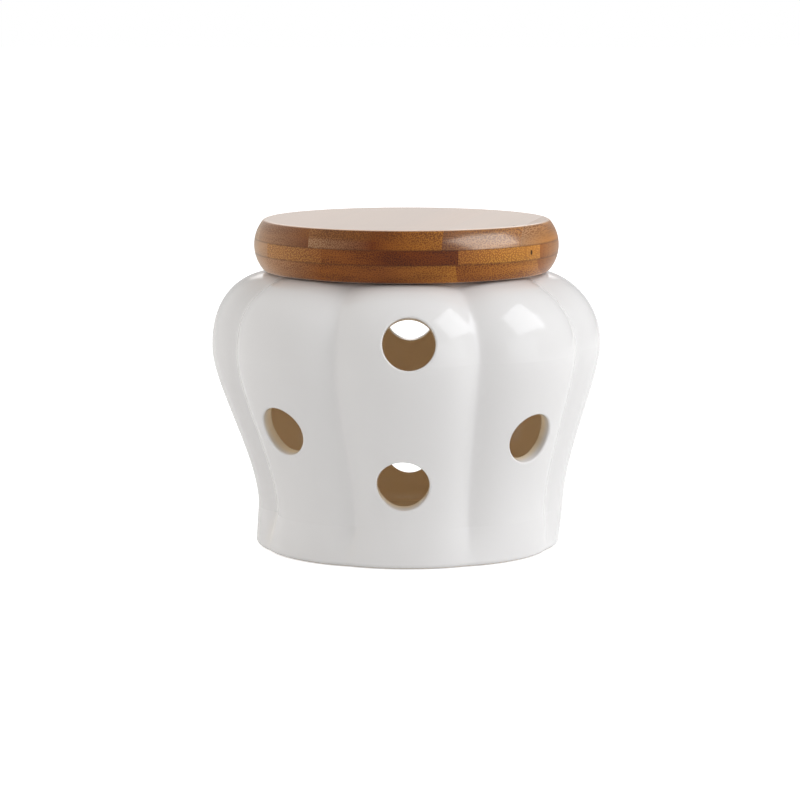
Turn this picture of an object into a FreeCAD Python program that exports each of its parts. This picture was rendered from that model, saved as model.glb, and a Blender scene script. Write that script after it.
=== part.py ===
import FreeCAD, Part
import math
import os

# Ventilated garlic keeper, in millimetres, +Z up, standing on Z = 0 with its axis on Z.
#
# A slip-cast jar with eight lobes and punched vents is closed by a turned lid of laminated bamboo.
# The lid is three plies of glued strips. Under it a plug of the same strips carries a silicone seal.
# The front of the keeper faces -Y.

Vector = FreeCAD.Vector

# ---- Jar, outside, at the crest of a lobe --------------------------------------------------------
FOOT_RADIUS = 47.7          # bottom of the skirt that the jar stands on
FOOT_EDGE = 1.3             # rounding of the skirt's bottom edge
SKIRT_FLARE = 0.3           # the skirt is this much wider in radius at its top
SKIRT_HEIGHT = 12.0         # where the flank starts to lean out
FLANK_HEIGHT = 51.0         # from the skirt up to the belly
FLANK_LOWER_HOLD = 0.31     # share of the flank's rise that pulls it upright above the skirt
FLANK_UPPER_HOLD = 0.235    # the same share below the belly
BELLY_RADIUS = 60.8         # widest place
SHOULDER_HEIGHT = 22.9      # from the belly up to the rim
SHOULDER_FULLNESS = 0.58    # 0.55 is a quarter ellipse, more is squarer
MOUTH_RADIUS = 38.4         # bore that the seal grips
RIM_ROUND = 1.2             # rounding of the rim into the bore

# ---- Jar, flutes between the lobes ---------------------------------------------------------------
LOBES = 8
FLUTE_FOOT = 0.8            # depth at the foot
FLUTE_SKIRT = 3.0           # depth where the upright skirt ends
FLUTE_BELLY = 4.4           # depth at the belly
SHOULDER_PULL_IN = 3.0      # pulls the flute in and down over the shoulder, fading out at the rim
SHOULDER_PULL_DOWN = 5.0
LOBE_ROUNDNESS = 3.0        # 2 is a lobe of one arc, more is flatter on top with steeper sides
FLUTE_SOFTNESS = 0.07       # share of the half lobe over which the bottom of the flute is rounded
FLUTE_INSIDE = 0.6          # share of the flute's depth that shows inside

# ---- Jar, warped a little in the kiln, with belly and mouth staying put --------------------------
FOOT_LEAN = 0.4             # towards +X at the foot
SKIRT_LEAN = 1.4            # and where the skirt ends
FLANK_LEAN = -0.6           # pulls the flank back, fading out at the belly
SHOULDER_LEAN = -1.6        # pulls the shoulder over, fading out at the rim

# ---- Jar, inside and underneath ------------------------------------------------------------------
WALL = 3.8
MOUTH_LAND = 5.0            # height of the mouth from the inner shoulder to the rim
FLOOR = 4.5                 # floor above the recess
FLOOR_CORNER = 8.0          # rounding from the floor up to the wall
FOOT_RING = 5.5             # width of the flat ring that touches the table
RECESS_DEPTH = 1.6
RECESS_SLOPE = 2.0          # width of the recess's sloping side

# ---- Vents ---------------------------------------------------------------------------------------
# Each half of the mould carries four marks. The vents are punched by hand, a little off the crests.
VENT_RADIUS = 7.9
VENT_EDGE = 0.5             # softened edge at both ends of each vent
FRONT_UPPER_VENT = 70.1     # heights where the vents' axes meet the outside
FRONT_LOWER_VENT = 25.7
FRONT_LEFT_VENT = 40.6
FRONT_RIGHT_VENT = 38.7
BACK_UPPER_VENT = 65.0
BACK_LOWER_VENT = 21.4
BACK_SIDE_VENT = 45.0
UPPER_VENT_TURN = 0.6       # degrees round from the front, towards +X
LOWER_VENT_TURN = -1.2
SIDE_VENT_TURN = 43.8
BACK_VENT_TURN = 178.6

# ---- Lid -----------------------------------------------------------------------------------------
LID_OVERHANG = 9.1          # the lid reaches this far past the mouth
LID_GAP = 0.15              # rim to the lid's underside
BOTTOM_PLY = 5.65
CORE_PLY = 4.5
TOP_PLY = 5.8
LID_BULGE = 3.1             # the turned side stands out this far at mid height
LID_EDGE = 1.6              # rounding of the top and bottom edges
PLUG_THICKNESS = 7.6
PLUG_EDGE = 0.8             # rounding of the plug's bottom edge

# ---- Strips that the plies are glued from --------------------------------------------------------
# The strips run from front to back. The turning cuts into the two outer strips of a ply, and the
# full strips between them are all as wide as each other.
GRAIN_ANGLE = 12.0          # of the strips, turned from front to back towards +X
LID_STRIPS = 6              # in each ply
PLUG_STRIPS = 4
TOP_LEFT_STRIP = 5.7        # width left of the outer strips
TOP_RIGHT_STRIP = 7.2
CORE_LEFT_STRIP = 10.3
CORE_RIGHT_STRIP = 2.7
BOTTOM_LEFT_STRIP = 9.6
BOTTOM_RIGHT_STRIP = 3.4
PLUG_LEFT_STRIP = 13.4
PLUG_RIGHT_STRIP = 18.0

# ---- Seal ----------------------------------------------------------------------------------------
PLUG_CLEARANCE = 2.2        # plug to mouth
GROOVE_BELOW_LID = 1.2      # plug left above the groove
GROOVE_HEIGHT = 4.6
GROOVE_DEPTH = 1.6
SEAL_SLACK = 0.15           # seal to its groove, above, below and behind
SEAL_BACK = 0.5             # the seal's band stands this far out of its groove
SEAL_LIPS = 2
LIP_ROOT = 1.5              # thickness of a lip at the band
LIP_TIP = 0.7
LIP_CLEARANCE = 0.2         # lips to mouth

# ---- Worked out from the sizes above -------------------------------------------------------------
SKIRT_RADIUS = FOOT_RADIUS + SKIRT_FLARE
BELLY_HEIGHT = SKIRT_HEIGHT + FLANK_HEIGHT
RIM_HEIGHT = BELLY_HEIGHT + SHOULDER_HEIGHT
FLOOR_HEIGHT = RECESS_DEPTH + FLOOR
INNER_RIM_HEIGHT = RIM_HEIGHT - MOUTH_LAND
LID_RADIUS = MOUTH_RADIUS + LID_OVERHANG
LID_UNDERSIDE = RIM_HEIGHT + LID_GAP
CORE_HEIGHT = LID_UNDERSIDE + BOTTOM_PLY
TOP_PLY_HEIGHT = CORE_HEIGHT + CORE_PLY
LID_TOP = TOP_PLY_HEIGHT + TOP_PLY
PLUG_RADIUS = MOUTH_RADIUS - PLUG_CLEARANCE
PLUG_BOTTOM = LID_UNDERSIDE - PLUG_THICKNESS
GROOVE_TOP = LID_UNDERSIDE - GROOVE_BELOW_LID
GROOVE_BOTTOM = GROOVE_TOP - GROOVE_HEIGHT
GROOVE_RADIUS = PLUG_RADIUS - GROOVE_DEPTH

QUARTER_ROUND = 0.5523      # handle of a cubic curve that follows a quarter circle
THIRD = 1.0 / 3.0
POINTS_PER_LOBE = 24
PUNCH_REACH = 3.0 * WALL    # each vent's punch goes this far to both sides of the outside
SAME = 1e-6                 # sizes closer than this are the same


# ---- Curves of the jar ---------------------------------------------------------------------------
# A profile point is (radius and height at the crest, how far the flute cuts in, how far it cuts
# down, how far the wall leans). Each stretch of the profile is one cubic curve of four such points,
# and each point is swept round the axis as a ring. The last three numbers are the point's form.

def straight(start, end):
    """A straight stretch of the profile."""
    one = tuple(a + (b - a) * THIRD for a, b in zip(start, end))
    two = tuple(b + (a - b) * THIRD for a, b in zip(start, end))
    return [start, one, two, end]


def upright_to_upright(start, end, pull):
    """An S-shaped stretch that leaves and arrives vertically; pull is its end handle's form."""
    rise = end[1] - start[1]
    one = (start[0], start[1] + rise * FLANK_LOWER_HOLD, *start[2:])
    two = (end[0], end[1] - rise * FLANK_UPPER_HOLD, *pull)
    return [start, one, two, end]


def upright_to_flat(start, end, fullness, pull):
    """A quarter turn that leaves vertically and arrives horizontally; pull is its end handle's form."""
    one = (start[0], start[1] + (end[1] - start[1]) * fullness, *start[2:])
    two = (end[0] + (start[0] - end[0]) * fullness, end[1], *pull)
    return [start, one, two, end]


def flute_share(angle):
    """Share of the flute's depth at an angle round the jar: 0 at a lobe's crest, 1 in the flute."""
    across = angle * LOBES / (2.0 * math.pi)
    across = 2.0 * abs(across - round(across))
    softened = 1.0 + FLUTE_SOFTNESS - math.hypot(1.0 - across, FLUTE_SOFTNESS)
    return softened ** LOBE_ROUNDNESS if softened > 0.0 else 0.0


def ring(point):
    """Closed curve round the axis at one point of the profile, which starts in a flute."""
    radius, height, cut_in, cut_down, lean = point
    count = LOBES * POINTS_PER_LOBE
    angles = [2.0 * math.pi * (index / count - 0.5 / LOBES) for index in range(count + 1)]
    places = []
    for angle in angles[:-1]:
        share = flute_share(angle)
        reach = radius - cut_in * share
        level = height - cut_down * share
        places.append(Vector(lean + reach * math.cos(angle), reach * math.sin(angle), level))
    curve = Part.BSplineCurve()
    curve.interpolate(Points=places, PeriodicFlag=True, Parameters=angles)
    return curve


def swept(stretch):
    """Surface of one stretch of the profile, closed round the axis."""
    rings = [ring(point) for point in stretch]
    poles = [list(column) for column in zip(*[curve.getPoles() for curve in rings])]
    surface = Part.BSplineSurface()
    surface.buildFromPolesMultsKnots(
        poles, rings[0].getMultiplicities(), [4, 4], rings[0].getKnots(), [0.0, 1.0],
        True, False, 3, 3)
    return surface


def ring_wire(surface, end):
    """The closed edge at one end, 0 or 1, of a swept surface."""
    return Part.Wire(surface.vIso(float(end)).toShape())


# ---- Jar -----------------------------------------------------------------------------------------

RECESS_FORM = (0.0, 0.0, FOOT_LEAN)
FOOT_FORM = (FLUTE_FOOT, 0.0, FOOT_LEAN)
FLOOR_FORM = (0.0, 0.0, SKIRT_LEAN)
CORNER_FORM = (FLUTE_FOOT, 0.0, SKIRT_LEAN)
SKIRT_FORM = (FLUTE_SKIRT, 0.0, SKIRT_LEAN)
FLANK_FORM = (FLUTE_BELLY, 0.0, FLANK_LEAN)
BELLY_FORM = (FLUTE_BELLY, 0.0, 0.0)
SHOULDER_FORM = (SHOULDER_PULL_IN, SHOULDER_PULL_DOWN, SHOULDER_LEAN)
MOUTH_FORM = (0.0, 0.0, 0.0)


def shown_inside(form):
    """The form with what is left of its flute on the inside of the wall."""
    cut_in, cut_down, lean = form
    return cut_in * FLUTE_INSIDE, cut_down * FLUTE_INSIDE, lean


def outer_skirt():
    foot_side = (FOOT_RADIUS, FOOT_EDGE, *FOOT_FORM)
    return straight(foot_side, (SKIRT_RADIUS, SKIRT_HEIGHT, *SKIRT_FORM))


def outer_flank():
    skirt_top = (SKIRT_RADIUS, SKIRT_HEIGHT, *SKIRT_FORM)
    belly = (BELLY_RADIUS, BELLY_HEIGHT, *BELLY_FORM)
    return upright_to_upright(skirt_top, belly, FLANK_FORM)


def outer_shoulder():
    belly = (BELLY_RADIUS, BELLY_HEIGHT, *BELLY_FORM)
    rim_top = (MOUTH_RADIUS + RIM_ROUND, RIM_HEIGHT, *MOUTH_FORM)
    return upright_to_flat(belly, rim_top, SHOULDER_FULLNESS, SHOULDER_FORM)


def outside_and_mouth():
    """Stretches of the profile from the foot up the outside and down through the mouth."""
    skirt = outer_skirt()
    shoulder = outer_shoulder()
    foot_flat = (FOOT_RADIUS - FOOT_EDGE, 0.0, *FOOT_FORM)
    bore_top = (MOUTH_RADIUS, RIM_HEIGHT - RIM_ROUND, *MOUTH_FORM)
    bore_end = (MOUTH_RADIUS, INNER_RIM_HEIGHT, *MOUTH_FORM)
    foot_edge = upright_to_flat(skirt[0], foot_flat, QUARTER_ROUND, FOOT_FORM)
    rim = upright_to_flat(bore_top, shoulder[-1], QUARTER_ROUND, MOUTH_FORM)
    return [foot_edge, skirt, outer_flank(), shoulder, rim, straight(bore_end, bore_top)]


def inside():
    """Stretches of the profile from the mouth down to the floor."""
    wall_radius = SKIRT_RADIUS - WALL
    mouth = (MOUTH_RADIUS, INNER_RIM_HEIGHT, *MOUTH_FORM)
    belly = (BELLY_RADIUS - WALL, BELLY_HEIGHT, *shown_inside(BELLY_FORM))
    corner = (wall_radius, FLOOR_HEIGHT + FLOOR_CORNER, *shown_inside(CORNER_FORM))
    floor_edge = (wall_radius - FLOOR_CORNER, FLOOR_HEIGHT, *FLOOR_FORM)
    return [
        upright_to_flat(belly, mouth, SHOULDER_FULLNESS, shown_inside(SHOULDER_FORM)),
        upright_to_upright(corner, belly, shown_inside(FLANK_FORM)),
        upright_to_flat(corner, floor_edge, QUARTER_ROUND, FLOOR_FORM),
    ]


def jar_body():
    """The jar before its vents are punched, closed by the flat foot ring, the recess and the floor."""
    recess_radius = FOOT_RADIUS - FOOT_EDGE - FOOT_RING
    recess_edge = (recess_radius, 0.0, *RECESS_FORM)
    recess_top = (recess_radius - RECESS_SLOPE, RECESS_DEPTH, *RECESS_FORM)
    stretches = outside_and_mouth() + inside()
    surfaces = [swept(stretch) for stretch in stretches]
    recess = swept(straight(recess_edge, recess_top))
    foot_ring = Part.Face([ring_wire(surfaces[0], 1), ring_wire(recess, 0)])
    recess_face = Part.Face(ring_wire(recess, 1))
    floor_face = Part.Face(ring_wire(surfaces[-1], 1))
    faces = [surface.toShape() for surface in surfaces + [recess]]
    shell = Part.Shell(faces + [foot_ring, recess_face, floor_face])
    shell.sewShape()
    return Part.Solid(shell)


def crest_at(height):
    """Radius of the crest at a height, and the way the wall faces there, in the XZ plane."""
    for stretch in (outer_skirt(), outer_flank(), outer_shoulder()):
        if height <= stretch[-1][1]:
            break
    curve = Part.BezierCurve()
    curve.setPoles([Vector(point[0], 0.0, point[1]) for point in stretch])
    level_plane = Part.Plane(Vector(0.0, 0.0, height), Vector(0.0, 0.0, 1.0))
    crossing = curve.intersect(level_plane)[0][0]
    tangent = curve.tangent(curve.parameter(Vector(crossing.X, crossing.Y, crossing.Z)))[0]
    return crossing.X, Vector(tangent.z, 0.0, -tangent.x)


def vent(turn, height):
    """A punch square to the wall, this many degrees round from the front towards +X."""
    radius, outward = crest_at(height)
    start = Vector(radius, 0.0, height) - outward * PUNCH_REACH
    punch = Part.makeCylinder(VENT_RADIUS, 2.0 * PUNCH_REACH, start, outward)
    punch.rotate(Vector(), Vector(0.0, 0.0, 1.0), turn - 90.0)
    return punch


def vents():
    return [
        vent(UPPER_VENT_TURN, FRONT_UPPER_VENT),
        vent(LOWER_VENT_TURN, FRONT_LOWER_VENT),
        vent(-SIDE_VENT_TURN, FRONT_LEFT_VENT),
        vent(SIDE_VENT_TURN, FRONT_RIGHT_VENT),
        vent(BACK_VENT_TURN, BACK_UPPER_VENT),
        vent(BACK_VENT_TURN, BACK_LOWER_VENT),
        vent(180.0 - SIDE_VENT_TURN, BACK_SIDE_VENT),
        vent(180.0 + SIDE_VENT_TURN, BACK_SIDE_VENT),
    ]


def jar():
    """The punched jar, with the edges of its vents softened."""
    body = jar_body().cut(vents()).Solids[0]
    edges = []
    for face in body.Faces:
        if isinstance(face.Surface, Part.Cylinder):
            edges += [edge for edge in face.Edges if not isinstance(edge.Curve, Part.Line)]
    return body.makeFillet(VENT_EDGE, edges)


# ---- Lid and plug --------------------------------------------------------------------------------

def lid_blank():
    """The lid as it is turned, before it is told apart into plies and strips."""
    flat = LID_RADIUS - LID_BULGE
    middle = (LID_UNDERSIDE + LID_TOP) / 2.0
    low = Vector(flat, 0.0, LID_UNDERSIDE)
    high = Vector(flat, 0.0, LID_TOP)
    low_axis = Vector(0.0, 0.0, LID_UNDERSIDE)
    high_axis = Vector(0.0, 0.0, LID_TOP)
    side = Part.Arc(low, Vector(LID_RADIUS, 0.0, middle), high).toShape()
    rest = Part.makePolygon([high, high_axis, low_axis, low])
    section = Part.Face(Part.Wire([side] + rest.Edges))
    blank = section.revolve(Vector(), Vector(0.0, 0.0, 1.0), 360.0)
    edges = [edge for edge in blank.Edges if is_level_circle(edge, flat)]
    return blank.makeFillet(LID_EDGE, edges)


def plug_blank():
    """The plug with its seal's groove."""
    base = Vector(0.0, 0.0, PLUG_BOTTOM)
    plug = Part.makeCylinder(PLUG_RADIUS, PLUG_THICKNESS, base)
    bottom_edge = [edge for edge in plug.Edges if is_level_circle(edge, PLUG_RADIUS)]
    bottom_edge = [edge for edge in bottom_edge if edge.BoundBox.ZMax < LID_UNDERSIDE - PLUG_EDGE]
    plug = plug.makeFillet(PLUG_EDGE, bottom_edge)
    groove_base = Vector(0.0, 0.0, GROOVE_BOTTOM)
    groove = Part.makeCylinder(MOUTH_RADIUS, GROOVE_HEIGHT, groove_base)
    core = Part.makeCylinder(GROOVE_RADIUS, GROOVE_HEIGHT, groove_base)
    return plug.cut(groove.cut(core))


def is_level_circle(edge, radius):
    if not isinstance(edge.Curve, Part.Circle):
        return False
    return abs(edge.Curve.Radius - radius) < SAME


def strips(blank, bottom, height, radius, count, left_strip, right_strip):
    """One ply of a blank, told apart at its glue joints."""
    width = (2.0 * radius - left_strip - right_strip) / (count - 2)
    joints = [left_strip - radius + width * index for index in range(count - 1)]
    bounds = [-2.0 * radius] + joints + [2.0 * radius]
    ply = []
    for left, right in zip(bounds, bounds[1:]):
        corner = Vector(left, -2.0 * radius, bottom)
        block = Part.makeBox(right - left, 4.0 * radius, height, corner)
        block.rotate(Vector(), Vector(0.0, 0.0, 1.0), -GRAIN_ANGLE)
        ply.append(blank.common(block).Solids[0])
    return ply


def lid_ply(blank, bottom, height, left_strip, right_strip):
    return strips(blank, bottom, height, LID_RADIUS, LID_STRIPS, left_strip, right_strip)


def lid_plies():
    blank = lid_blank()
    return {
        "lid_bottom_strip": lid_ply(
            blank, LID_UNDERSIDE, BOTTOM_PLY, BOTTOM_LEFT_STRIP, BOTTOM_RIGHT_STRIP),
        "lid_core_strip": lid_ply(
            blank, CORE_HEIGHT, CORE_PLY, CORE_LEFT_STRIP, CORE_RIGHT_STRIP),
        "lid_top_strip": lid_ply(
            blank, TOP_PLY_HEIGHT, TOP_PLY, TOP_LEFT_STRIP, TOP_RIGHT_STRIP),
        "plug_strip": strips(
            plug_blank(), PLUG_BOTTOM, PLUG_THICKNESS,
            PLUG_RADIUS, PLUG_STRIPS, PLUG_LEFT_STRIP, PLUG_RIGHT_STRIP),
    }


# ---- Seal ----------------------------------------------------------------------------------------

def seal_ring():
    """A silicone band with lips that reach for the mouth."""
    inner = GROOVE_RADIUS + SEAL_SLACK
    band = PLUG_RADIUS + SEAL_BACK
    tip = MOUTH_RADIUS - LIP_CLEARANCE
    bottom = GROOVE_BOTTOM + SEAL_SLACK
    top = GROOVE_TOP - SEAL_SLACK
    pitch = (top - bottom) / SEAL_LIPS
    outline = [(inner, bottom), (band, bottom)]
    for index in range(SEAL_LIPS):
        middle = bottom + pitch * (index + 0.5)
        outline.append((band, middle - LIP_ROOT / 2.0))
        outline.append((tip, middle - LIP_TIP / 2.0))
        outline.append((tip, middle + LIP_TIP / 2.0))
        outline.append((band, middle + LIP_ROOT / 2.0))
    outline += [(band, top), (inner, top), (inner, bottom)]
    corners = [Vector(radius, 0.0, height) for radius, height in outline]
    section = Part.Face(Part.makePolygon(corners))
    return section.revolve(Vector(), Vector(0.0, 0.0, 1.0), 360.0)


# ---- Nodes ---------------------------------------------------------------------------------------

def main():
    nodes = {"jar": jar(), "seal_ring": seal_ring()}
    for name, ply in lid_plies().items():
        for index, strip in enumerate(ply, start=1):
            nodes[f"{name}_{index}"] = strip
    os.makedirs("parts", exist_ok=True)
    for name, shape in nodes.items():
        shape.exportStep(f"parts/{name}.step")


main()
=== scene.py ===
import bpy
import math
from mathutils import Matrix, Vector

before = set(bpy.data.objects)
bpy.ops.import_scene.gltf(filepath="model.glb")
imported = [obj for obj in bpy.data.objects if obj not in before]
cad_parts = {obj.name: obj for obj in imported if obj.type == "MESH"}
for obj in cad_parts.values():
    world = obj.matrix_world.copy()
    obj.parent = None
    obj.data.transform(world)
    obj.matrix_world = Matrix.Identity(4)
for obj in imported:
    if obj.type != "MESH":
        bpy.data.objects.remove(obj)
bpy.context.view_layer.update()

# Garlic keeper: a glazed, fluted jar with air vents under a lid of laminated, carbonised bamboo.
# Metres, +Z up, the front faces -Y. Colours are linear. Where two numbers fade something in, it is
# absent at the first and full at the second. A facing is the part of a unit normal along a direction.

RIGHT, LEFT = (1.0, 0.0, 0.0), (-1.0, 0.0, 0.0)
BACK, UP = (0.0, 1.0, 0.0), (0.0, 0.0, 1.0)
WHITE = (1.0, 1.0, 1.0)

# ---- Camera --------------------------------------------------------------------------------------
CAMERA_PLACE = (-0.0020, -0.9365, 0.1789)
CAMERA_DIP = math.radians(8.15)      # below the horizontal
LENS, SENSOR = 135.4, 36.0           # millimetres

# ---- Light ---------------------------------------------------------------------------------------
LAMP_DISTANCE = 1.25
LAMP_TONE = (0.95, 0.97, 1.0)
# turn from the front towards +X, height from the horizontal up, size, power
LAMPS = {
    "key": (math.radians(76), math.radians(42), (0.95, 0.75), 7.1),
    "low": (math.radians(55), math.radians(8), (1.00, 0.60), 2.2),
}
INNER_POWER, INNER_SIZE = 0.0066, 0.02
INNER_TONE = (1.0, 0.86, 0.74)       # of light that has gone round inside the jar many times
ROOM_LEVELS = ((RIGHT, 1.03), (LEFT, 1.56), (UP, 0.12))   # how bright the room is on each side
ROOM_TONE = (1.0, 0.985, 0.965)
BACKDROP = 1.0                       # what the camera and clear materials see
REFLECTED_ROOM = 0.43                # what gloss sees of the room
REFLECTED_LEFT = 0.25                # and how much more on its left side
LEFT_EDGE = (0.15, 0.60)             # how far left a reflection points where that fades in
REFLECTED_BACKDROP = 0.57            # what gloss sees of the backdrop behind the keeper
BACKDROP_EDGE = (0.93, 0.99)         # how far back a reflection points where it fades in
REFLECTED_BOX = 2.2                  # and of a soft box above the backdrop
BOX_WAY = (0.0, 0.90, 0.43)
BOX_EDGE = (0.95, 0.985)

# ---- Floor ---------------------------------------------------------------------------------------
FLOOR_SIZE = 12.0
FLOOR_DROP = 0.0002                  # below the foot, so that the two don't share a plane
FLOOR_TONE = (0.82, 0.82, 0.82)
FLOOR_LIFT = 0.70                    # brings the lit floor to the backdrop's white
FLOOR_REFLECTED_LIFT = 0.20          # and in what gloss sees of it

# ---- Jar -----------------------------------------------------------------------------------------
GLAZE = (0.80, 0.79, 0.785)
# the inside's glaze, warmed as painted light for the warm light that the bamboo lid bounces round inside
INSIDE_GLAZE_AND_WARM_BOUNCE = (0.90, 0.76, 0.54)
GLAZE_ROUGHNESS, GLAZE_SPECULAR = 0.12, 0.42
BISCUIT, BISCUIT_ROUGHNESS = (0.72, 0.64, 0.54), 0.8   # bare foot ring
GLASSY_IOR = 1.5                     # of the glaze and of the lid's lacquer
JAR_MIDDLE = (0.0, 0.0, 0.045)
WALL = 0.0038
SKIRT_TOP, BELLY = 0.012, 0.063      # heights
SHOULDER = 0.0229                    # height from the belly to the rim
FOOT_RADIUS, BELLY_RADIUS, RIM_RADIUS = 0.0480, 0.0608, 0.0396
INSIDE_FACING = (-0.15, -0.45)       # away from the jar's middle, where the inside's glaze begins
VENT_DEPTH = (0.15, 1.0)             # share of the wall that a point in a vent lies below the surface
VENT_FACING = (0.65, 0.35)           # away from the jar's middle, in a vent
MOUTH_EDGE = (0.0835, 0.0815)        # heights between which the mouth turns from white to warm
FOOT_EDGE, FOOT_FACING = (0.0012, 0.0004), (-0.6, -0.9)   # height and upward facing of the bare ring

# ---- Bamboo --------------------------------------------------------------------------------------
GRAIN_TURN = math.radians(12)        # the strips run from front to back, turned this far towards +X
ACROSS_GRAIN = (math.cos(GRAIN_TURN), -math.sin(GRAIN_TURN), 0.0)

# Tones of carbonised bamboo, from little steamed to much. The palest is partly painted reflection: the
# strips at the lid's -X end are paled for the sheen of the bright room there
STRAW_AND_SHEEN = (0.56, 0.35, 0.19)
OAT = (0.43, 0.23, 0.11)
HONEY = (0.42, 0.16, 0.02)
TAN = (0.33, 0.14, 0.04)
AMBER = (0.29, 0.09, 0.01)
RUST = (0.22, 0.065, 0.01)
UMBER = (0.16, 0.035, 0.002)

# Factors that turn the tone into the fibre bundles' colour
SOFT = (0.68, 0.57, 0.45)
MEDIUM = (0.50, 0.34, 0.20)
STRONG = (0.38, 0.20, 0.09)
PALE = (1.95, 2.40, 2.40)

# Tone at the -X and at the +X edge, fibre bundles, roughness of the turned side. The change of tone along
# the lid is partly the strips' own and partly painted light and shade, following how the lamps catch the
# lacquer
STRIPS = {
    "lid_top_strip_1": (STRAW_AND_SHEEN, STRAW_AND_SHEEN, SOFT, 0.50),
    "lid_top_strip_2": (OAT, RUST, SOFT, 0.45),
    "lid_top_strip_3": (OAT, UMBER, MEDIUM, 0.50),
    "lid_top_strip_4": (UMBER, HONEY, MEDIUM, 0.60),
    "lid_top_strip_5": (RUST, HONEY, MEDIUM, 0.20),
    "lid_top_strip_6": (OAT, HONEY, SOFT, 0.55),
    "lid_core_strip_1": (STRAW_AND_SHEEN, OAT, SOFT, 0.50),
    "lid_core_strip_2": (TAN, RUST, PALE, 0.55),
    "lid_core_strip_3": (AMBER, UMBER, STRONG, 0.60),
    "lid_core_strip_4": (UMBER, UMBER, STRONG, 0.60),
    "lid_core_strip_5": (RUST, HONEY, PALE, 0.55),
    "lid_core_strip_6": (AMBER, TAN, STRONG, 0.55),
    "lid_bottom_strip_1": (STRAW_AND_SHEEN, OAT, SOFT, 0.50),
    "lid_bottom_strip_2": (OAT, AMBER, MEDIUM, 0.55),
    "lid_bottom_strip_3": (AMBER, RUST, STRONG, 0.60),
    "lid_bottom_strip_4": (RUST, HONEY, MEDIUM, 0.60),
    "lid_bottom_strip_5": (AMBER, HONEY, STRONG, 0.55),
    "lid_bottom_strip_6": (AMBER, TAN, MEDIUM, 0.55),
    "plug_strip_1": (TAN, TAN, MEDIUM, 0.55),
    "plug_strip_2": (AMBER, AMBER, MEDIUM, 0.55),
    "plug_strip_3": (OAT, OAT, MEDIUM, 0.55),
    "plug_strip_4": (TAN, TAN, MEDIUM, 0.55),
}

BAND_SCALES = (70.0, 4.0, 300.0)     # of the slow bands: across the grain, along it and up
BAND_DETAIL = 3.0
BAND_SPAN, BAND_SHADES = (0.2, 0.8), (0.85, 1.15)
BUNDLE_SCALE, BUNDLE_SPREAD = 2000.0, 0.8   # fibre bundles to a metre, and how unevenly they lie
BUNDLE_SPAN, BUNDLE_REACH = (0.30, 0.70), (0.36, 0.24)   # of the bands, and how wide the bundles are
BUNDLE_SOFTNESS = 0.12
SWAY_SCALE, SWAY = 40.0, 0.0015      # how the bundles wander along the strip
LONG_GRAIN_FACING, LONG_GRAIN_SHARE = (0.70, 0.96), 0.35   # the bundles are quieter on the long grain

FACE_TONE = (0.35, 0.165, 0.075)     # the sanded top face, more even than the sides
FACE_FACING, FACE_SHARE = (0.80, 0.97), 0.75
FACE_GLOSS_FACING, FACE_ROUGHNESS = (0.80, 0.95), 0.15
PAINTED_EDGE_HIGHLIGHT = (0.70, 0.49, 0.35)       # painted highlight: a pale line where the face turns over into the side
EDGE_HIGHLIGHT_FACING_LOW, EDGE_HIGHLIGHT_FACING_HIGH, EDGE_HIGHLIGHT_SHARE = (0.78, 0.90), (0.998, 0.985), 0.7

EDGE_HEIGHTS = (0.0982, 0.0998)      # the top ply's upper edge
EDGE_REACH = 0.09                    # how much wider the fibre bundles are there
EDGE_TONE = (0.25, 0.085, 0.007)     # of the ground there, between the left end and the middle
EDGE_TONE_RIGHT, EDGE_TONE_LEFT = (0.004, -0.006), (-0.028, -0.020)   # places across the grain
EDGE_TONE_SHARE, EDGE_TONE_LEFT_SHARE = 0.8, 0.2
EDGE_DOTS = (0.15, 0.048, 0.005)     # of the fibre bundles there
EDGE_DOTS_LEFT, EDGE_DOTS_SHARES = (-0.028, -0.018), (0.1, 0.5)

GLUE = (0.06, 0.020, 0.005)
PLY_JOINTS = (0.0917, 0.0962)        # heights
GLUE_HALF_WIDTH, GLUE_SHARE = 0.00020, 0.4

SPECULAR = 0.25
SHEEN, SHEEN_AT_END = 0.9, 0.6       # the strips at the +X end have less
SHEEN_ROUGHNESS, SHEEN_TINT = 0.30, (1.0, 0.92, 0.86)
GLOSSY_STRIP = "lid_top_strip_5"     # took up less lacquer into the grain and shines more
GLOSSY_SPECULAR, GLOSSY_TINT = 0.8, (1.0, 0.85, 0.66)
GLOSSY_SHOULDER, SHOULDER_ROUGHNESS = (0.50, 0.64), 0.60   # upward facing where it turns dull
COAT_FACING, COAT_ROUGHNESS = (0.60, 0.46), 0.24
COAT_ON_BUNDLES = 0.55
CUPPING = 0.14                       # its side is hollow, so that it shines lower down

SPOT_EDGE = (1.15, 0.75)             # distance from the centre, in half sizes
DARK_SPOTS = {                       # centre, half sizes and colour
    "lid_top_strip_5": ((0.0325, -0.0262, 0.1020), (0.0006, 0.0014, 0.0004), (0.004, 0.003, 0.003)),
    "lid_core_strip_5": ((0.0378, -0.0288, 0.0940), (0.0004, 0.0007, 0.0008), (0.060, 0.026, 0.006)),
}

# ---- Silicone ------------------------------------------------------------------------------------
SILICONE, SILICONE_ROUGHNESS, SILICONE_IOR = (0.80, 0.79, 0.76), 0.45, 1.41


# ---- Node helpers --------------------------------------------------------------------------------

def new_material(name):
    """An empty material, its node tree and its output."""
    material = bpy.data.materials.new(name)
    material.use_nodes = True
    tree = material.node_tree
    tree.nodes.clear()
    return material, tree, tree.nodes.new("ShaderNodeOutputMaterial")


def node(tree, kind, inputs=(), **settings):
    """A node with its settings; inputs are (socket name or number, value or socket) pairs."""
    made = tree.nodes.new("ShaderNode" + kind)
    for key, value in settings.items():
        setattr(made, key, value)
    for key, value in inputs:
        if isinstance(value, bpy.types.NodeSocket):
            tree.links.new(value, made.inputs[key])
        else:
            made.inputs[key].default_value = value
    return made


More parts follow.
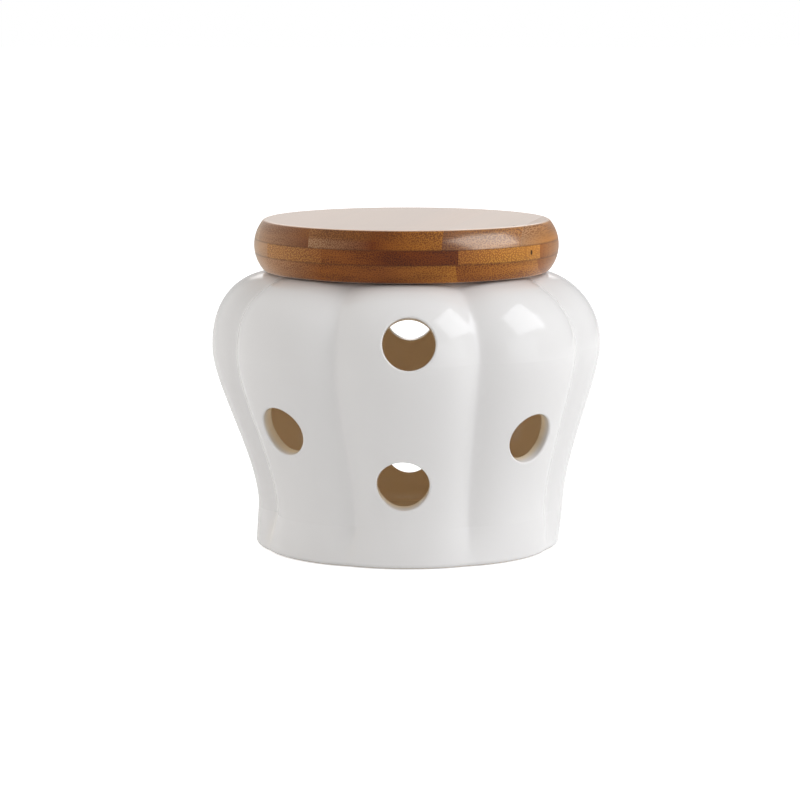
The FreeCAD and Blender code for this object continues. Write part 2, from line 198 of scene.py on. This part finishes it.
def maths(tree, operation, *values):
    return node(tree, "Math", enumerate(values), operation=operation).outputs[0]


def times(tree, one, two):
    return maths(tree, "MULTIPLY", one, two)


def vector(tree, operation, *values):
    return node(tree, "VectorMath", enumerate(values), operation=operation).outputs[0]


def length(tree, value):
    return node(tree, "VectorMath", ((0, value),), operation="LENGTH").outputs["Value"]


def dot(tree, one, two):
    return node(tree, "VectorMath", ((0, one), (1, two)), operation="DOT_PRODUCT").outputs["Value"]


def parts(tree, value):
    """The X, Y and Z of a vector."""
    return node(tree, "SeparateXYZ", ((0, value),)).outputs


def ranged(tree, value, low, high, to_low=0.0, to_high=1.0):
    """A value brought softly from one range into another."""
    inputs = ((0, value), (1, low), (2, high), (3, to_low), (4, to_high))
    return node(tree, "MapRange", inputs, interpolation_type="SMOOTHSTEP").outputs[0]


def near(tree, value, level, half_width):
    """1 where a value is at a level, fading to 0 at twice the half width."""
    gap = maths(tree, "ABSOLUTE", maths(tree, "SUBTRACT", value, level))
    return ranged(tree, gap, 2.0 * half_width, 0.5 * half_width)


def blend(tree, share, one, two):
    """A value between two, one at 0 and two at 1."""
    return node(tree, "Mix", ((0, share), (2, one), (3, two))).outputs[0]


def rgba(colour):
    return (*colour, 1.0)


def colour_blend(tree, share, one, two, way="MIX"):
    """A colour between two colours or sockets."""
    one, two = [c if isinstance(c, bpy.types.NodeSocket) else rgba(c) for c in (one, two)]
    inputs = ((0, share), (6, one), (7, two))
    return node(tree, "Mix", inputs, data_type="RGBA", blend_type=way).outputs[2]


# ---- Stage ---------------------------------------------------------------------------------------

def seen_directly(tree):
    """1 for what the camera sees, also through clear materials, and 1 for what gloss sees."""
    path = node(tree, "LightPath").outputs
    return maths(tree, "MAXIMUM", path["Is Camera Ray"], path["Is Transmission Ray"]), path["Is Glossy Ray"]


def reflected_room(tree, way):
    """What gloss sees of the room: its left side, the backdrop and the soft box."""
    left = maths(tree, "MAXIMUM", dot(tree, way, LEFT), 0.0)
    level = ranged(tree, left, *LEFT_EDGE)
    level = maths(tree, "MULTIPLY_ADD", level, REFLECTED_LEFT, REFLECTED_ROOM)
    level = ranged(tree, dot(tree, way, BACK), *BACKDROP_EDGE, level, REFLECTED_BACKDROP)
    return ranged(tree, dot(tree, way, BOX_WAY), *BOX_EDGE, level, REFLECTED_BOX)


def make_world():
    """A plain white backdrop, and a room that lights the keeper from its sides."""
    world = bpy.data.worlds.new("studio")
    bpy.context.scene.world = world
    world.use_nodes = True
    tree = world.node_tree
    tree.nodes.clear()
    way = node(tree, "TexCoord").outputs["Generated"]
    room = 0.0
    for side, level in ROOM_LEVELS:
        facing = maths(tree, "MAXIMUM", dot(tree, way, side), 0.0)
        room = maths(tree, "MULTIPLY_ADD", facing, level, room)
    direct, glossy = seen_directly(tree)
    strength = blend(tree, glossy, room, reflected_room(tree, way))
    strength = blend(tree, direct, strength, BACKDROP)
    tone = colour_blend(tree, maths(tree, "MAXIMUM", direct, glossy), ROOM_TONE, WHITE)
    light = node(tree, "Background", (("Color", tone), ("Strength", strength)))
    out = node(tree, "OutputWorld")
    tree.links.new(light.outputs[0], out.inputs[0])


def make_floor():
    """A wide white floor. It is lifted to white where nothing shades it, and keeps the shadow."""
    bpy.ops.mesh.primitive_plane_add(size=FLOOR_SIZE, location=(0.0, 0.0, -FLOOR_DROP))
    floor = bpy.context.object
    floor.name = "floor"
    material, tree, out = new_material("white_floor")
    direct, glossy = seen_directly(tree)
    lift = times(tree, direct, FLOOR_LIFT)
    lift = maths(tree, "ADD", lift, times(tree, glossy, FLOOR_REFLECTED_LIFT))
    matt = node(tree, "BsdfDiffuse", (("Color", rgba(FLOOR_TONE)),))
    glow = node(tree, "Emission", (("Color", rgba(WHITE)), ("Strength", lift)))
    both = node(tree, "AddShader", ((0, matt.outputs[0]), (1, glow.outputs[0])))
    tree.links.new(both.outputs[0], out.inputs[0])
    floor.data.materials.append(material)


def make_lamp(name, turn, height, size, power):
    """A soft box that faces the middle of the keeper."""
    data = bpy.data.lights.new(name, "AREA")
    data.shape = "RECTANGLE"
    data.size, data.size_y = size
    data.energy = power
    data.color = LAMP_TONE
    lamp = bpy.data.objects.new(name, data)
    flat = math.cos(height)
    way = Vector((math.sin(turn) * flat, -math.cos(turn) * flat, math.sin(height)))
    lamp.location = Vector((0.0, 0.0, BELLY)) + way * LAMP_DISTANCE
    lamp.rotation_euler = way.to_track_quat("Z", "Y").to_euler()
    bpy.context.scene.collection.objects.link(lamp)


def make_inner_light():
    """A weak glow in the jar: the light that its walls pass on to each other."""
    data = bpy.data.lights.new("inner", "POINT")
    data.energy = INNER_POWER
    data.color = INNER_TONE
    data.shadow_soft_size = INNER_SIZE
    lamp = bpy.data.objects.new("inner", data)
    lamp.location = JAR_MIDDLE
    lamp.visible_camera = False
    lamp.visible_glossy = False
    bpy.context.scene.collection.objects.link(lamp)


def make_camera():
    data = bpy.data.cameras.new("camera")
    data.sensor_width = SENSOR
    data.lens = LENS
    camera = bpy.data.objects.new("camera", data)
    camera.location = CAMERA_PLACE
    camera.rotation_euler = (math.radians(90) - CAMERA_DIP, 0.0, 0.0)
    bpy.context.scene.collection.objects.link(camera)
    bpy.context.scene.camera = camera


# ---- Glaze ---------------------------------------------------------------------------------------

def crest_radius(tree, height):
    """Radius of the jar's lobes at a height."""
    flank = ranged(tree, height, SKIRT_TOP, BELLY, FOOT_RADIUS, BELLY_RADIUS)
    risen = maths(tree, "DIVIDE", maths(tree, "SUBTRACT", height, BELLY), SHOULDER)
    risen = node(tree, "Clamp", ((0, risen),)).outputs[0]
    left = maths(tree, "SQRT", maths(tree, "SUBTRACT", 1.0, times(tree, risen, risen)))
    lost = times(tree, maths(tree, "SUBTRACT", 1.0, left), BELLY_RADIUS - RIM_RADIUS)
    return maths(tree, "SUBTRACT", flank, lost)


def glaze():
    """White outside, warmer inside and down the vents, partly as painted warm light, bare on the foot ring.
    """
    material, tree, out = new_material("glaze")
    surface = node(tree, "TexCoord").outputs
    place, normal = surface["Object"], surface["Normal"]
    height, up = parts(tree, place)[2], parts(tree, normal)[2]
    away = vector(tree, "NORMALIZE", vector(tree, "SUBTRACT", place, JAR_MIDDLE))
    outward = dot(tree, away, normal)
    radius = length(tree, vector(tree, "MULTIPLY", place, (1.0, 1.0, 0.0)))
    depth = maths(tree, "SUBTRACT", crest_radius(tree, height), radius)
    depth = maths(tree, "DIVIDE", depth, WALL)
    # painted light: a vent's wall turns warm with depth, for the warm light from inside the jar
    in_vent = times(tree, ranged(tree, depth, *VENT_DEPTH), ranged(tree, outward, *VENT_FACING))
    inside = maths(tree, "MAXIMUM", ranged(tree, outward, *INSIDE_FACING), in_vent)
    inside = times(tree, inside, ranged(tree, height, *MOUTH_EDGE))
    bare = times(tree, ranged(tree, height, *FOOT_EDGE), ranged(tree, up, *FOOT_FACING))
    colour = colour_blend(tree, inside, GLAZE, INSIDE_GLAZE_AND_WARM_BOUNCE)
    colour = colour_blend(tree, bare, colour, BISCUIT)
    roughness = blend(tree, bare, GLAZE_ROUGHNESS, BISCUIT_ROUGHNESS)
    inputs = (("Base Color", colour), ("Roughness", roughness), ("IOR", GLASSY_IOR),
              ("Specular IOR Level", GLAZE_SPECULAR))
    shader = node(tree, "BsdfPrincipled", inputs)
    tree.links.new(shader.outputs[0], out.inputs[0])
    return material


# ---- Bamboo --------------------------------------------------------------------------------------

def spot_mask(tree, place, centre, size):
    """1 in a small ellipsoid, 0 outside."""
    offset = vector(tree, "SUBTRACT", place, centre)
    scaled = vector(tree, "MULTIPLY", offset, tuple(1.0 / s for s in size))
    return ranged(tree, length(tree, scaled), *SPOT_EDGE)


def grain_span(name):
    """Where a strip begins and ends across the grain."""
    turn = Vector(ACROSS_GRAIN)
    across = [turn.dot(vertex.co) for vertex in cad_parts[name].data.vertices]
    return min(across), max(across)


def fibre_bundles(tree, grain, height, normal, band, at_edge):
    """1 on the fibre bundles: dots on the end grain, quieter streaks on the long grain."""
    across, along, _ = parts(tree, grain)
    sway = node(tree, "TexNoise", (("W", times(tree, along, SWAY_SCALE)),), noise_dimensions="1D")
    across = maths(tree, "MULTIPLY_ADD", sway.outputs["Fac"], SWAY, across)
    section = node(tree, "CombineXYZ", ((0, across), (1, height))).outputs[0]
    inputs = (("Vector", section), ("Scale", BUNDLE_SCALE), ("Randomness", BUNDLE_SPREAD))
    cells = node(tree, "TexVoronoi", inputs, voronoi_dimensions="2D").outputs["Distance"]
    reach = ranged(tree, band, *BUNDLE_SPAN, *BUNDLE_REACH)
    reach = maths(tree, "MULTIPLY_ADD", at_edge, EDGE_REACH, reach)
    bundles = ranged(tree, maths(tree, "SUBTRACT", cells, reach), BUNDLE_SOFTNESS, -BUNDLE_SOFTNESS)
    side_on = maths(tree, "ABSOLUTE", dot(tree, normal, ACROSS_GRAIN))
    return times(tree, bundles, ranged(tree, side_on, *LONG_GRAIN_FACING, 1.0, LONG_GRAIN_SHARE))


def side_colour(tree, name, tones, fibre, across, bundles, at_edge):
    """A strip's tone across its width, partly painted light and shade, darker at the top ply's upper edge,
    with fibre bundles.
    """
    start, end = grain_span(name)
    # partly painted light and shade: the tone runs from one end tone to the other across the strip
    share = node(tree, "MapRange", ((0, across), (1, start), (2, end))).outputs[0]
    colour = colour_blend(tree, share, *tones)
    edge = times(tree, at_edge, ranged(tree, across, *EDGE_TONE_RIGHT, 0.0, EDGE_TONE_SHARE))
    edge = times(tree, edge, ranged(tree, across, *EDGE_TONE_LEFT, EDGE_TONE_LEFT_SHARE, 1.0))
    colour = colour_blend(tree, edge, colour, EDGE_TONE)
    bundle_colour = colour_blend(tree, 1.0, colour, fibre, "MULTIPLY")
    colour = colour_blend(tree, bundles, colour, bundle_colour)
    edge_dots = ranged(tree, across, *EDGE_DOTS_LEFT, *EDGE_DOTS_SHARES)
    edge_dots = times(tree, times(tree, bundles, at_edge), edge_dots)
    return colour_blend(tree, edge_dots, colour, EDGE_DOTS)


def finished_colour(tree, colour, height, up, band):
    """The sides' colour with the sanded face, slow bands, the painted highlight along the edge and the glue
    lines.
    """
    face = times(tree, ranged(tree, up, *FACE_FACING), FACE_SHARE)
    colour = colour_blend(tree, face, colour, FACE_TONE)
    shade = ranged(tree, band, *BAND_SPAN, *BAND_SHADES)
    colour = colour_blend(tree, 1.0, colour, shade, "MULTIPLY")
    # painted highlight: the rounded top edge is paled for the reflection it catches
    edge_highlight = times(tree, ranged(tree, up, *EDGE_HIGHLIGHT_FACING_LOW), ranged(tree, up, *EDGE_HIGHLIGHT_FACING_HIGH))
    colour = colour_blend(tree, times(tree, edge_highlight, EDGE_HIGHLIGHT_SHARE), colour, PAINTED_EDGE_HIGHLIGHT)
    for joint in PLY_JOINTS:
        line = times(tree, near(tree, height, joint, GLUE_HALF_WIDTH), GLUE_SHARE)
        colour = colour_blend(tree, line, colour, GLUE)
    return colour


def glossy_inputs(tree, up, bundles):
    """What the glossy strip's shader has beyond the others': a tint, a coat and a hollow side."""
    facing = node(tree, "NewGeometry").outputs["Normal"]
    tilted = vector(tree, "NORMALIZE", vector(tree, "ADD", facing, (0.0, 0.0, CUPPING)))
    coat = times(tree, ranged(tree, up, *COAT_FACING),
                 ranged(tree, bundles, 0.0, 1.0, 1.0, COAT_ON_BUNDLES))
    return [("Coat Weight", coat), ("Coat Roughness", COAT_ROUGHNESS),
            ("Specular Tint", rgba(GLOSSY_TINT)), ("Normal", tilted), ("Coat Normal", tilted)]


def bamboo(name, left_tone, right_tone, fibre, side_roughness):
    """One strip of laminated, lacquered bamboo."""
    material, tree, out = new_material(name)
    surface = node(tree, "TexCoord").outputs
    place, normal = surface["Object"], surface["Normal"]
    height, up = parts(tree, place)[2], parts(tree, normal)[2]
    grain = node(tree, "Mapping", ((0, place), ("Rotation", (0.0, 0.0, GRAIN_TURN)))).outputs[0]
    bands = vector(tree, "MULTIPLY", grain, BAND_SCALES)
    inputs = (("Vector", bands), ("Scale", 1.0), ("Detail", BAND_DETAIL))
    band = node(tree, "TexNoise", inputs).outputs["Fac"]
    at_edge = ranged(tree, height, *EDGE_HEIGHTS)
    bundles = fibre_bundles(tree, grain, height, normal, band, at_edge)
    across = parts(tree, grain)[0]
    colour = side_colour(tree, name, (left_tone, right_tone), fibre, across, bundles, at_edge)
    colour = finished_colour(tree, colour, height, up, band)
    glossy = name == GLOSSY_STRIP
    roughness = side_roughness
    if glossy:
        roughness = blend(tree, ranged(tree, up, *GLOSSY_SHOULDER), roughness, SHOULDER_ROUGHNESS)
    roughness = blend(tree, ranged(tree, up, *FACE_GLOSS_FACING), roughness, FACE_ROUGHNESS)
    if name in DARK_SPOTS:
        centre, size, spot_tone = DARK_SPOTS[name]
        spot = spot_mask(tree, place, centre, size)
        colour = colour_blend(tree, spot, colour, spot_tone)
        roughness = blend(tree, spot, roughness, 1.0)
    inputs = [("Base Color", colour), ("Roughness", roughness), ("IOR", GLASSY_IOR),
              ("Specular IOR Level", GLOSSY_SPECULAR if glossy else SPECULAR),
              ("Sheen Weight", SHEEN_AT_END if name.endswith("_6") else SHEEN),
              ("Sheen Roughness", SHEEN_ROUGHNESS), ("Sheen Tint", rgba(SHEEN_TINT))]
    if glossy:
        inputs += glossy_inputs(tree, up, bundles)
    shader = node(tree, "BsdfPrincipled", inputs)
    tree.links.new(shader.outputs[0], out.inputs[0])
    return material


# ---- Silicone ------------------------------------------------------------------------------------

def silicone():
    """The pale, dull rubber of the seal."""
    material, tree, out = new_material("silicone")
    inputs = (("Base Color", rgba(SILICONE)), ("Roughness", SILICONE_ROUGHNESS),
              ("IOR", SILICONE_IOR))
    shader = node(tree, "BsdfPrincipled", inputs)
    tree.links.new(shader.outputs[0], out.inputs[0])
    return material


def dress(name, material):
    """Gives a CAD node its material."""
    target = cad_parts[name]
    target.data.materials.clear()
    target.data.materials.append(material)


dress("jar", glaze())
dress("seal_ring", silicone())
for strip, look in STRIPS.items():
    dress(strip, bamboo(strip, *look))

make_world()
make_floor()
for lamp_name, lamp_values in LAMPS.items():
    make_lamp(lamp_name, *lamp_values)
make_inner_light()
make_camera()
bpy.context.scene.view_settings.view_transform = "Standard"
